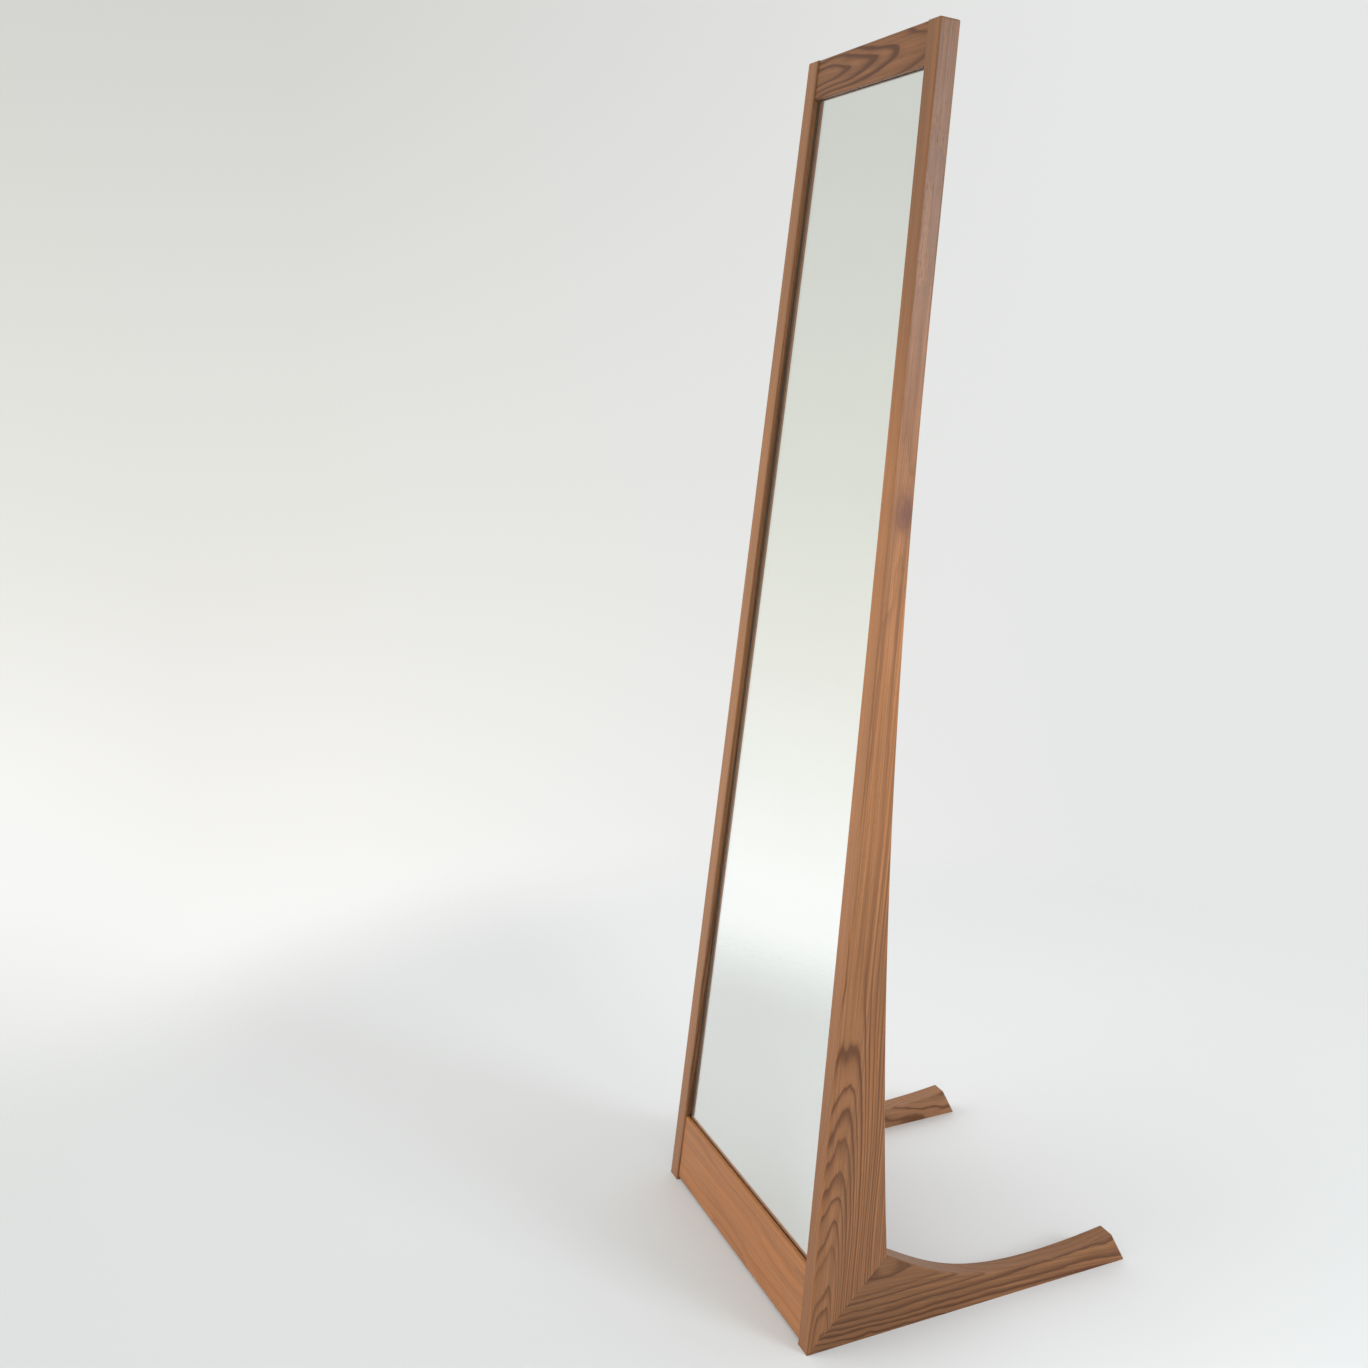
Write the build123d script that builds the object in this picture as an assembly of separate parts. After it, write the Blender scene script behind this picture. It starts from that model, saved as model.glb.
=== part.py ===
"""Full-length dressing mirror on two swept side frames.

Each side frame is a stile that leans back and a foot that runs back along the floor,
mitred together at the toe. The side frames tilt towards each other, so the mirror
narrows upwards. Two rails join them, and the glass stands between the stiles on a
back board, held by screwed beads.

Lengths are in millimetres and angles in degrees. X runs to the right as seen from
the front, Y runs back and Z runs up. The origin lies on the floor, under the middle
of the mirror.
"""
from build123d import *
from math import cos, hypot, radians, sin
import os

# Overall form
mirror_height = 1700.0          # floor to the front of the stile tops
floor_width = 483.0             # across the side frames at the floor
top_width = 330.0               # across the side frames at the top
lean_angle = 6.4                # backward lean of the glass
foot_reach = 530.0              # along the floor, toe to heel

# Side frame outline, seen from the side
side_thickness = 27.0
stile_top_depth = 29.0          # front to back where the stile is straight
sweep_start = 1396.0            # up the front edge, where the back edge starts to sweep
sweep_handle = 694.0            # up the front edge, where the sweep's pull point lies
crotch_back = 125.0             # inner corner of stile and foot, back from the toe
crotch_height = 116.0           # the same corner, up from the floor
fall_angle = 30.8               # slope of the foot's top edge as it leaves the crotch
fall_handle = 104.0             # pull on the curve at the crotch
rise_angle = 6.5                # slope of the foot's top edge as it reaches the heel
rise_handle = 240.0             # pull on the curve at the heel
heel_height = 46.0
heel_rake = 24.0                # the heel's top edge lies this far forward of its foot
arris_radius = 2.5              # rounding of the side frame's long edges

# Rails between the side frames
rail_thickness = 24.0
rail_setback = 2.5              # stile fronts to rail fronts
rail_arris_radius = 2.0
top_rail_height = 51.5
bottom_rail_height = 109.5
floor_gap = 4.8                 # under the bottom rail, measured up the lean

# Glass, back board and what holds them
glass_setback = 7.8             # stile fronts to the face of the glass
lip_height = 8.0                # the rails' lips over the glass
glass_thickness = 4.0
tape_thickness = 1.0
tape_width = 25.0
tape_inset = 14.0               # from the panel's edges to the tape
board_thickness = 6.0
panel_side_gap = 1.0            # each side of the glass and the board
panel_end_gap = 2.0             # above and below them
block_length = 40.0
block_inset = 60.0              # from the panel's bottom corners to the blocks
bead_depth = 7.5
bead_width = 12.0
bead_arris_radius = 1.5

# Bead screws
screw_length = 25.0
screw_shank = 3.0
screw_head = 6.0
screw_point = 4.0
side_screw_count = 5
rail_screw_count = 2
screw_end_inset = 60.0          # from the beads' ends to the first screw
screw_hole_gap = 0.05

# Loose tenons
mitre_tenon_thickness = 10.0
mitre_tenon_width = 30.0
mitre_tenon_length = 40.0
mitre_tenon_places = (77.0, 134.0)  # along the mitre, from the toe
rail_tenon_thickness = 8.0
rail_tenon_length = 36.0
rail_tenon_in_stile = 14.0
tenon_margin = 8.0              # wood left beside a rail tenon
toe_margin = 24.0               # wood left below the lowest one, clear of the mitre
tenon_side_gap = 0.1
tenon_end_gap = 1.0

# Worked out from the sizes above
lean = radians(lean_angle)
slant_height = mirror_height / cos(lean)
taper = (floor_width - top_width) / 2 / mirror_height
side_span = side_thickness * hypot(1, taper)        # measured level, along X
glass_back = glass_setback + glass_thickness
board_front = glass_back + tape_thickness
board_back = board_front + board_thickness
bead_back = board_back + bead_depth
rail_back = rail_setback + rail_thickness
sight_bottom = floor_gap + bottom_rail_height       # seen edges of the glass
sight_top = slant_height - top_rail_height
rebate_bottom = sight_bottom - lip_height
rebate_top = sight_top + lip_height
panel_bottom = rebate_bottom + panel_end_gap
panel_top = rebate_top - panel_end_gap
spare = 40.0                                        # how far cutters run past the wood

# The glass plane's own directions: X across, Y up the lean, Z out of the front
leaning = Plane(origin=(0, 0, 0), x_dir=(1, 0, 0), z_dir=(0, -cos(lean), sin(lean)))
outward = Vector(1, 0, taper).normalized()          # square to the right-hand board


def side_point(up, back):
    """Point in the side view, up the front edge and square back from it."""
    return Vector(0, up * sin(lean) + back * cos(lean), up * cos(lean) - back * sin(lean))


def inner_half_width(up, back):
    """Half the clear width between the stiles at a point of the side view."""
    return floor_width / 2 - side_span - taper * side_point(up, back).Z


def level_prism(corners):
    """Solid that runs from front to back behind an outline of (x, z) corners."""
    outline = Plane.XZ * make_face(Polyline(*corners, close=True))
    return extrude(outline, amount=foot_reach + spare, both=True)


def leaning_prism(corners, front, back):
    """Solid in the lean of the glass, from an outline of (across, up) corners."""
    outline = leaning.offset(-front) * make_face(Polyline(*corners, close=True))
    return extrude(outline, amount=front - back)


def right_board_slab():
    """The tilted layer of space that the right-hand board fills."""
    low, high = -spare, mirror_height + spare
    outer_low = floor_width / 2 - taper * low
    outer_high = floor_width / 2 - taper * high
    return level_prism([(outer_low, low), (outer_high, high),
                        (outer_high - side_span, high), (outer_low - side_span, low)])


def space_between_stiles():
    """The wedge of space between the two inner faces."""
    low, high = -spare, mirror_height + spare
    half_low = floor_width / 2 - side_span - taper * low
    half_high = floor_width / 2 - side_span - taper * high
    return level_prism([(-half_low, low), (half_low, low), (half_high, high), (-half_high, high)])


def side_outline():
    """The whole side frame in side view: stile, sweep, crotch, foot and heel."""
    toe = Vector(0, 0, 0)
    top_front = side_point(slant_height, 0)
    top_back = side_point(slant_height, stile_top_depth)
    sweep_top = side_point(sweep_start, stile_top_depth)
    sweep_pull = side_point(sweep_handle, stile_top_depth)
    crotch = Vector(0, crotch_back, crotch_height)
    heel_top = Vector(0, foot_reach - heel_rake, heel_height)
    heel_bottom = Vector(0, foot_reach, 0)
    fall, rise = radians(fall_angle), radians(rise_angle)
    fall_pull = crotch + Vector(0, cos(fall), -sin(fall)) * fall_handle
    rise_pull = heel_top - Vector(0, cos(rise), sin(rise)) * rise_handle
    return Face(Wire([
        Line(toe, top_front),
        Line(top_front, top_back),
        Line(top_back, sweep_top),
        Bezier(sweep_top, sweep_pull, crotch),
        Bezier(crotch, fall_pull, rise_pull, heel_top),
        Line(heel_top, heel_bottom),
        Line(heel_bottom, toe),
    ]))


def lies_on(edge, plane):
    """Whether an edge lies in a plane."""
    return all(abs(plane.to_local_coords(edge.position_at(step)).Z) < 0.01
               for step in (0, 0.3, 0.7, 1))


def loose_tenon(plane, width, thickness, near, far, gap=0.0, end_gap=0.0):
    """Round-edged tenon through a joint, or its mortise when gaps are given."""
    section = SlotOverall(width + 2 * gap, thickness + 2 * gap, rotation=90)
    solid = extrude(section, amount=near + far + 2 * end_gap)
    return plane * Pos(0, 0, -near - end_gap) * solid


def mitre_tenons(gap=0.0, end_gap=0.0):
    """Loose tenons across the right-hand mitre."""
    mitre_length = hypot(crotch_back, crotch_height)
    along_back, along_up = crotch_back / mitre_length, crotch_height / mitre_length
    across = Vector(taper * along_back, along_up, -along_back)
    half = mitre_tenon_length / 2
    tenons = []
    for place in mitre_tenon_places:
        centre_x = floor_width / 2 - side_span / 2 - taper * place * along_up
        plane = Plane(origin=(centre_x, place * along_back, place * along_up),
                      x_dir=outward, z_dir=across)
        tenons.append(loose_tenon(plane, mitre_tenon_width, mitre_tenon_thickness,
                                  half, half, gap, end_gap))
    return tenons


def rail_tenon(low, high, gap=0.0, end_gap=0.0):
    """Loose tenon between a rail and the right-hand stile, from low to high up the lean."""
    middle, depth = (low + high) / 2, rail_setback + rail_thickness / 2
    centre = side_point(middle, depth) + Vector(inner_half_width(middle, depth), 0, 0)
    plane = Plane(origin=centre, x_dir=leaning.z_dir, z_dir=(1, 0, 0))
    return loose_tenon(plane, high - low, rail_tenon_thickness,
                       rail_tenon_length - rail_tenon_in_stile, rail_tenon_in_stile, gap, end_gap)


def top_rail_tenon(gap=0.0, end_gap=0.0):
    """The tenon at the right-hand end of the top rail."""
    return [rail_tenon(rebate_top + tenon_margin, slant_height - tenon_margin, gap, end_gap)]


def bottom_rail_tenons(gap=0.0, end_gap=0.0):
    """The two tenons at the right-hand end of the bottom rail."""
    low, high = floor_gap + toe_margin, rebate_bottom - tenon_margin
    width = (high - low - tenon_margin) / 2
    return [rail_tenon(low, low + width, gap, end_gap), rail_tenon(high - width, high, gap, end_gap)]


def screw(plane):
    """Countersunk screw, head flush with the plane and point along its Z."""
    shank, head = screw_shank / 2, screw_head / 2
    outline = make_face(Polyline((0, 0, 0), (head, 0, 0), (shank, 0, head - shank),
                                 (shank, 0, screw_length - screw_point), (0, 0, screw_length),
                                 close=True))
    return plane * revolve(outline, Axis.Z)


def screw_hole(plane):
    """Cutter for a screw's hole, countersunk at the plane and flat at its end."""
    shank, head = screw_shank / 2 + screw_hole_gap, screw_head / 2 + screw_hole_gap
    end = screw_length + screw_hole_gap
    outline = make_face(Polyline((0, 0, 0), (head, 0, 0), (shank, 0, head - shank),
                                 (shank, 0, end), (0, 0, end), close=True))
    return plane * revolve(outline, Axis.Z)


def spread(low, high, count):
    """Evenly spaced places, the first and last set in from the ends."""
    step = (high - low - 2 * screw_end_inset) / (count - 1)
    return [low + screw_end_inset + step * number for number in range(count)]


def side_bead_screws(shape):
    """Screws, or their holes, through the right-hand bead into the stile."""
    depth = (board_back + bead_back) / 2
    screws = []
    for up in spread(rebate_bottom, rebate_top, side_screw_count):
        centre_x = inner_half_width(up, depth) - bead_width
        plane = Plane(origin=side_point(up, depth) + Vector(centre_x, 0, 0), z_dir=outward)
        screws.append(shape(plane))
    return screws


def rail_bead_screws(edge, direction, shape):
    """Screws, or their holes, through an end bead into its rail, up or down the lean."""
    depth = (board_back + bead_back) / 2
    inner_edge = edge - direction * bead_width
    half = inner_half_width(edge, depth)
    screws = []
    for across in spread(-half, half, rail_screw_count):
        plane = Plane(origin=side_point(inner_edge, depth) + Vector(across, 0, 0),
                      z_dir=leaning.y_dir * direction)
        screws.append(shape(plane))
    return screws


def panel(front, back):
    """A sheet that fits the rebate with its gaps, such as the glass."""
    low = inner_half_width(panel_bottom, glass_setback) - panel_side_gap
    high = inner_half_width(panel_top, glass_setback) - panel_side_gap
    return leaning_prism([(-low, panel_bottom), (low, panel_bottom),
                          (high, panel_top), (-high, panel_top)], front, back)


def tape_strips():
    """Mirror tape between the glass and the board: one strip up each side, one in the middle."""
    low_up, high_up = panel_bottom + tape_inset, panel_top - tape_inset
    low = inner_half_width(low_up, glass_setback) - panel_side_gap - tape_inset
    high = inner_half_width(high_up, glass_setback) - panel_side_gap - tape_inset
    side = leaning_prism([(low, low_up), (high, high_up), (high - tape_width, high_up),
                          (low - tape_width, low_up)], glass_back, board_front)
    half = tape_width / 2
    middle = leaning_prism([(-half, low_up), (half, low_up), (half, high_up), (-half, high_up)],
                           glass_back, board_front)
    return [side, middle, mirror(side, about=Plane.YZ)]


def setting_blocks():
    """Blocks that carry the glass and the board on the bottom rail."""
    outer = inner_half_width(panel_bottom, glass_setback) - panel_side_gap - block_inset
    inner = outer - block_length
    block = leaning_prism([(inner, rebate_bottom), (outer, rebate_bottom),
                           (outer, panel_bottom), (inner, panel_bottom)], glass_setback, board_back)
    return [block, mirror(block, about=Plane.YZ)]


def rail(low, high, pocket):
    """Board between the stiles with rounded arrises, rebated for the glass."""
    board = leaning * Pos(0, (low + high) / 2, -(rail_setback + rail_back) / 2) * Box(
        floor_width, high - low, rail_thickness)
    board = fillet(board.edges().filter_by(Axis.X), rail_arris_radius)
    return (board & space_between_stiles()) - pocket


def bead(outer_start, outer_end, inner_end, inner_start, pocket):
    """Mitred bead inside the pocket, its exposed back edge rounded."""
    solid = leaning_prism([outer_start, outer_end, inner_end, inner_start],
                          board_back, bead_back)
    back_plane = leaning.offset(-bead_back)
    middle = leaning.from_local_coords(Vector((inner_start[0] + inner_end[0]) / 2,
                                              (inner_start[1] + inner_end[1]) / 2, -bead_back))
    back_edges = [edge for edge in solid.edges() if lies_on(edge, back_plane)]
    exposed = min(back_edges, key=lambda edge: edge.distance_to(middle))
    return fillet(exposed, bead_arris_radius) & pocket


def cut(piece, cutters):
    """A piece less a list of cutters."""
    for cutter in cutters:
        piece = piece - cutter
    return piece


def stretched(inner, outer, share):
    """A ring corner pushed out along its mitre, so that the pocket can trim it."""
    return (outer[0] + share * (outer[0] - inner[0]), outer[1] + share * (outer[1] - inner[1]))


def glazing_beads(pocket):
    """The right-hand, top and bottom beads, mitred to each other."""
    low_outer = (inner_half_width(rebate_bottom, bead_back), rebate_bottom)
    high_outer = (inner_half_width(rebate_top, bead_back), rebate_top)
    low_up, high_up = rebate_bottom + bead_width, rebate_top - bead_width
    low_inner = (inner_half_width(low_up, bead_back) - bead_width, low_up)
    high_inner = (inner_half_width(high_up, bead_back) - bead_width, high_up)
    over = 0.1
    low_far, high_far = stretched(low_inner, low_outer, over), stretched(high_inner, high_outer, over)
    right = bead(low_far, high_far, high_inner, low_inner, pocket)
    top = bead((-high_far[0], high_far[1]), high_far, high_inner,
               (-high_inner[0], high_inner[1]), pocket)
    bottom = bead((-low_far[0], low_far[1]), low_far, low_inner,
                  (-low_inner[0], low_inner[1]), pocket)
    return right, top, bottom


def both_sides(pieces):
    """Pieces from the right-hand side with their mirror images."""
    return pieces + [mirror(piece, about=Plane.YZ) for piece in pieces]


def side_frame():
    """The right-hand stile and foot, parted at the mitre, before their joints are cut."""
    board = extrude(side_outline(), amount=floor_width, dir=(1, 0, 0)) & right_board_slab()
    across_mitre = Vector(0, crotch_height, -crotch_back)
    mitre = Plane(origin=(0, 0, 0), x_dir=(1, 0, 0), z_dir=-across_mitre)
    floor = Plane.XY
    inner_face = Plane(origin=(floor_width / 2 - side_span, 0, 0), x_dir=(0, 1, 0), z_dir=outward)
    top = Plane(origin=side_point(slant_height, 0), x_dir=(1, 0, 0), z_dir=leaning.y_dir)
    stile = split(board, bisect_by=mitre, keep=Keep.TOP)
    foot = split(board, bisect_by=mitre, keep=Keep.BOTTOM)
    rail_end = [edge for edge in stile.edges() if lies_on(edge, inner_face) and lies_on(edge, top)]
    stile_edges = [edge for edge in stile.edges()
                   if not lies_on(edge, mitre) and edge not in rail_end]
    foot_edges = [edge for edge in foot.edges()
                  if not lies_on(edge, mitre) and not lies_on(edge, floor)]
    return fillet(stile_edges, arris_radius), fillet(foot_edges, arris_radius)


def build():
    """Every piece by name, each a list of solids, with the toes on the X axis."""
    gaps = (tenon_side_gap, tenon_end_gap)
    height_of_pocket = [(-floor_width, rebate_bottom), (floor_width, rebate_bottom),
                        (floor_width, rebate_top), (-floor_width, rebate_top)]
    pocket = leaning_prism(height_of_pocket, glass_setback, rail_back + spare) & space_between_stiles()

    stile, foot = side_frame()
    side_holes = side_bead_screws(screw_hole)
    top_holes = rail_bead_screws(rebate_top, 1, screw_hole)
    bottom_holes = rail_bead_screws(rebate_bottom, -1, screw_hole)

    rail_mortises = top_rail_tenon(*gaps) + bottom_rail_tenons(*gaps)
    stile = cut(stile, mitre_tenons(*gaps) + rail_mortises + side_holes)
    foot = cut(foot, mitre_tenons(*gaps))
    top_rail = rail(sight_top, slant_height, pocket)
    top_rail = cut(top_rail, both_sides(top_rail_tenon(*gaps)) + top_holes)
    bottom_rail = rail(floor_gap, sight_bottom, pocket)
    bottom_rail = cut(bottom_rail, both_sides(bottom_rail_tenons(*gaps)) + bottom_holes)

    right_bead, top_bead, bottom_bead = glazing_beads(pocket)
    right_bead = cut(right_bead, side_holes)
    top_bead = cut(top_bead, top_holes)
    bottom_bead = cut(bottom_bead, bottom_holes)

    pieces = {
        "top_rail": [top_rail],
        "bottom_rail": [bottom_rail],
        "mirror_glass": [panel(glass_setback, glass_back)],
        "bonding_tape": tape_strips(),
        "back_board": [panel(board_front, board_back)],
        "setting_blocks": setting_blocks(),
        "top_bead": [top_bead],
        "bottom_bead": [bottom_bead],
        "top_bead_screws": rail_bead_screws(rebate_top, 1, screw),
        "bottom_bead_screws": rail_bead_screws(rebate_bottom, -1, screw),
        "top_rail_tenons": both_sides(top_rail_tenon()),
        "bottom_rail_tenons": both_sides(bottom_rail_tenons()),
    }
    right_hand = {
        "stile": [stile],
        "foot": [foot],
        "bead": [right_bead],
        "bead_screws": side_bead_screws(screw),
        "mitre_tenons": mitre_tenons(),
    }
    for name, solids in right_hand.items():
        pieces["right_" + name] = solids
        pieces["left_" + name] = [mirror(solid, about=Plane.YZ) for solid in solids]
    return pieces


os.makedirs("parts", exist_ok=True)
for name, solids in build().items():
    placed = [Pos(0, -foot_reach / 2, 0) * solid for solid in solids]
    export_step(placed[0] if len(placed) == 1 else Compound(placed), f"parts/{name}.step")
    print(name, len(placed))
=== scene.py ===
"""Dressing mirror: timber, silvered glass, brass screws and the studio it stands in."""

from math import radians

import bpy
from bpy.props import FloatProperty, FloatVectorProperty, PointerProperty
from mathutils import Matrix, Vector


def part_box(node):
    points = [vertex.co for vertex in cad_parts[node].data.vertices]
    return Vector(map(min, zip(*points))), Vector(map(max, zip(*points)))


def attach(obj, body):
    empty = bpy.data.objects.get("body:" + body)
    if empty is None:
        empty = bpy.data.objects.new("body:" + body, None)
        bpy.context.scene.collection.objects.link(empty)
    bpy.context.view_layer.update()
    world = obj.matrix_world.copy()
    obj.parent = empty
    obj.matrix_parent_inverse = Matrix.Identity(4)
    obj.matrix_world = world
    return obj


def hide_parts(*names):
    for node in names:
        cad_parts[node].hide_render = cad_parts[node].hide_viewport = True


bl_info = {
    "name": "Dressing Mirror",
    "version": (1, 0, 0),
    "blender": (4, 5, 0),
    "location": "View3D > Sidebar > Mirror",
    "description": "Finishes a full-length dressing mirror and sets up its studio",
    "category": "Object",
}

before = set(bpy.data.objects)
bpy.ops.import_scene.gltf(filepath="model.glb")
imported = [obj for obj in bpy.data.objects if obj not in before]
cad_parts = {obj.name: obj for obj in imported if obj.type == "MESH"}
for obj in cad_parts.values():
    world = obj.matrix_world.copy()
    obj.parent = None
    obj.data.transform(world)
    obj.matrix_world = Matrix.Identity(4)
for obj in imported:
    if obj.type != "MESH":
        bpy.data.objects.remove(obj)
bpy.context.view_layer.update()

BODY = "root"
SIDES = {"left": -1, "right": 1}
ALONG_X = Vector((1, 0, 0))
ALONG_Y = Vector((0, 1, 0))

MIX_FACTOR, MIX_FIRST, MIX_SECOND, MIX_COLOUR = 0, 6, 7, 2      # a Mix node's colour sockets
FACE_ON = 0.999                 # cosine above which a face of the glass counts as its front
FINE_PITS = 0.0002              # depth of the pits in tape and paint, in metres


def colour_property(name, description, default):
    """A colour that the panel shows as a swatch."""
    return FloatVectorProperty(name=name, description=description, subtype="COLOR",
                               size=3, min=0, max=1, default=default)


def length_property(name, description, default):
    """A length in metres."""
    return FloatProperty(name=name, description=description, subtype="DISTANCE",
                         unit="LENGTH", min=0, precision=4, default=default)


def amount_property(name, description, default, subtype="NONE", **limits):
    """A plain number, an angle or a power."""
    return FloatProperty(name=name, description=description, subtype=subtype,
                         default=default, **limits)


class TimberSettings(bpy.types.PropertyGroup):
    """Colours and texture of the oiled timber."""
    early_colour: colour_property("Early wood", "Colour between the growth lines",
                                  (0.36, 0.163, 0.072))
    late_colour: colour_property("Late wood", "Colour of the growth lines",
                                 (0.150, 0.054, 0.018))
    warm_colour: colour_property("Warm streaks", "Colour of the broad warm streaks",
                                 (0.44, 0.185, 0.066))
    pore_colour: colour_property("Pores", "Colour in the open pores", (0.075, 0.034, 0.018))
    knot_colour: colour_property("Knots", "Colour of the wood round a knot",
                                 (0.150, 0.054, 0.044))
    ring_spacing: length_property("Ring spacing", "Width of a year's growth", 0.0052)
    roughness: amount_property("Roughness", "Sheen of the oiled surface", 0.40, min=0, max=1)
    pore_depth: length_property("Pore depth", "Depth of the open pores", 0.00012)


class GlassSettings(bpy.types.PropertyGroup):
    """The silvered glass."""
    silver_colour: colour_property("Silver", "Tint of the reflection", (0.975, 0.99, 0.975))
    glass_colour: colour_property("Glass", "Tint of the clear glass", (0.995, 1.0, 0.995))
    # Painted shade: the edge's dark brown stands in for the shade in the gap where the glass meets
    # the timber
    edge_shade_colour: colour_property("Edge", "Dark ground edge, painted shade of the gap between glass and timber",
                                 (0.050, 0.044, 0.034))
    backing_colour: colour_property("Backing paint", "Paint over the silvering",
                                    (0.16, 0.17, 0.18))
    arris: length_property("Ground arris", "Width of the ground edge", 0.0007)
    coat: length_property("Coat", "Thickness of the paint behind the glass", 0.0001)


class HardwareSettings(bpy.types.PropertyGroup):
    """Brass screws in the beads."""
    brass_colour: colour_property("Brass", "Colour of clean brass", (0.72, 0.50, 0.20))
    head_width: length_property("Head width", "Across a screw's head", 0.006)
    shank_width: length_property("Shank width", "Across a screw's shank", 0.003)
    point_length: length_property("Point length", "Length of a screw's point", 0.004)
    recess_width: length_property("Recess width", "Across the cross recess in a head", 0.0034)
    recess_depth: length_property("Recess depth", "Depth of the cross recess", 0.0011)


class StudioSettings(bpy.types.PropertyGroup):
    """Floor, lamps and camera."""
    floor_colour: colour_property("Floor", "Colour of the studio floor", (0.80, 0.81, 0.80))
    world_light: amount_property("Room light", "Even light from all round", 0.86, min=0)
    window_light: amount_property("Window", "Cool light from high on the right", 42, "POWER",
                                  min=0)
    window_colour: colour_property("Window colour", "Colour of the light from the window",
                                   (0.84, 0.92, 1.0))
    fill_light: amount_property("Fill lamp", "Soft lamp in front of the mirror", 34, "POWER",
                                min=0)
    camera_place: FloatVectorProperty(name="Camera place", description="Where the camera stands",
                                      subtype="TRANSLATION", size=3,
                                      default=(1.7237, -1.0587, 1.3377))
    camera_turn: amount_property("Camera turn", "Turn to the left of straight ahead",
                                 radians(67.251), "ANGLE")
    camera_tilt: amount_property("Camera tilt", "Tilt below the horizon",
                                 radians(13.588), "ANGLE")
    camera_roll: amount_property("Camera roll", "Roll of the camera", radians(-0.412), "ANGLE")
    lens: amount_property("Lens", "Focal length on a 36 mm wide frame", 37.91,
                          "DISTANCE_CAMERA", min=1)


class Tree:
    """Short calls that add nodes to a material or world and join them up."""

    def __init__(self, owner):
        owner.use_nodes = True
        self.owner = owner
        self.nodes = owner.node_tree.nodes
        self.links = owner.node_tree.links
        self.nodes.clear()

    def join(self, value, socket):
        """Links an output to a socket, or sets the socket to a plain value."""
        if isinstance(value, bpy.types.NodeSocket):
            self.links.new(value, socket)
        elif value is not None:
            socket.default_value = value

    def node(self, kind, inputs=(), **settings):
        """A node with its settings, and its inputs joined in order."""
        node = self.nodes.new(kind)
        for name, value in settings.items():
            setattr(node, name, value)
        for socket, value in zip(node.inputs, inputs):
            self.join(value, socket)
        return node

    def maths(self, operation, first, second=None, third=None, clamp=False):
        """One step of arithmetic."""
        return self.node("ShaderNodeMath", (first, second, third),
                         operation=operation, use_clamp=clamp).outputs[0]

    def times(self, first, *others):
        """A product, worked out from left to right."""
        for other in others:
            first = self.maths("MULTIPLY", first, other)
        return first

    def spread(self, value, gain, offset):
        """A value times a gain, plus an offset."""
        return self.maths("MULTIPLY_ADD", value, gain, offset)

    def span(self, value, start, end, low=0.0, high=1.0, easing="LINEAR"):
        """A value carried over from one range to another."""
        return self.node("ShaderNodeMapRange", (value, start, end, low, high),
                         interpolation_type=easing).outputs[0]

    def along(self, point, axis, origin=0.0):
        """How far a point lies along an axis, past an origin."""
        dot = self.node("ShaderNodeVectorMath", (point, tuple(axis)), operation="DOT_PRODUCT")
        return self.maths("SUBTRACT", dot.outputs["Value"], origin)

    def length(self, vector):
        """How long a vector is."""
        node = self.node("ShaderNodeVectorMath", (vector,), operation="LENGTH")
        return node.outputs["Value"]

    def vector(self, x, y, z):
        """Three numbers as a vector."""
        return self.node("ShaderNodeCombineXYZ", (x, y, z)).outputs[0]

    def stretched(self, point, scale):
        """A vector with each of its parts stretched by its own scale."""
        return self.node("ShaderNodeMapping", (point, None, None, scale)).outputs[0]

    def noise(self, place, scale=1.0, detail=3.0, roughness=0.5):
        """Even noise from 0 to 1."""
        node = self.node("ShaderNodeTexNoise")
        self.join(place, node.inputs["Vector"])
        node.inputs["Scale"].default_value = scale
        node.inputs["Detail"].default_value = detail
        node.inputs["Roughness"].default_value = roughness
        return node.outputs["Fac"]

    def ramp(self, value, stops, interpolation="LINEAR"):
        """A colour ramp from (place, colour) stops; a lone number is a grey."""
        node = self.node("ShaderNodeValToRGB", (value,))
        node.color_ramp.interpolation = interpolation
        elements = node.color_ramp.elements
        while len(elements) < len(stops):
            elements.new(0.5)
        for element, (place, colour) in zip(elements, stops):
            element.position = place
            shade = (colour,) * 3 if isinstance(colour, (int, float)) else tuple(colour)
            element.color = (*shade, 1)
        return node.outputs["Color"]

    def mix(self, factor, first, second, blend="MIX"):
        """Two colours mixed."""
        node = self.node("ShaderNodeMix", data_type="RGBA", blend_type=blend)
        self.join(factor, node.inputs[MIX_FACTOR])
        for value, socket in ((first, MIX_FIRST), (second, MIX_SECOND)):
            if isinstance(value, bpy.types.NodeSocket):
                self.join(value, node.inputs[socket])
            else:
                node.inputs[socket].default_value = (*value, 1)
        return node.outputs[MIX_COLOUR]

    def place(self):
        """The point on the piece, in metres."""
        return self.node("ShaderNodeTexCoord").outputs["Object"]

    def bumped(self, height, strength, depth):
        """The surface's direction, dented by a height."""
        bump = self.node("ShaderNodeBump")
        bump.inputs["Strength"].default_value = strength
        bump.inputs["Distance"].default_value = depth
        self.join(height, bump.inputs["Height"])
        return bump.outputs[0]

    def principled(self, colour, roughness, normal=None, **sockets):
        """A Principled shader; each underscore in a socket's name stands for a space."""
        shader = self.node("ShaderNodeBsdfPrincipled")
        values = {"Base Color": colour, "Roughness": roughness, "Normal": normal}
        values.update((name.replace("_", " "), value) for name, value in sockets.items())
        for name, value in values.items():
            self.join(value, shader.inputs[name])
        return shader.outputs[0]

    def surface(self, shader):
        """Ends the tree in its output, and gives back the material."""
        self.node("ShaderNodeOutputMaterial", (shader,))
        return self.owner


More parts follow.
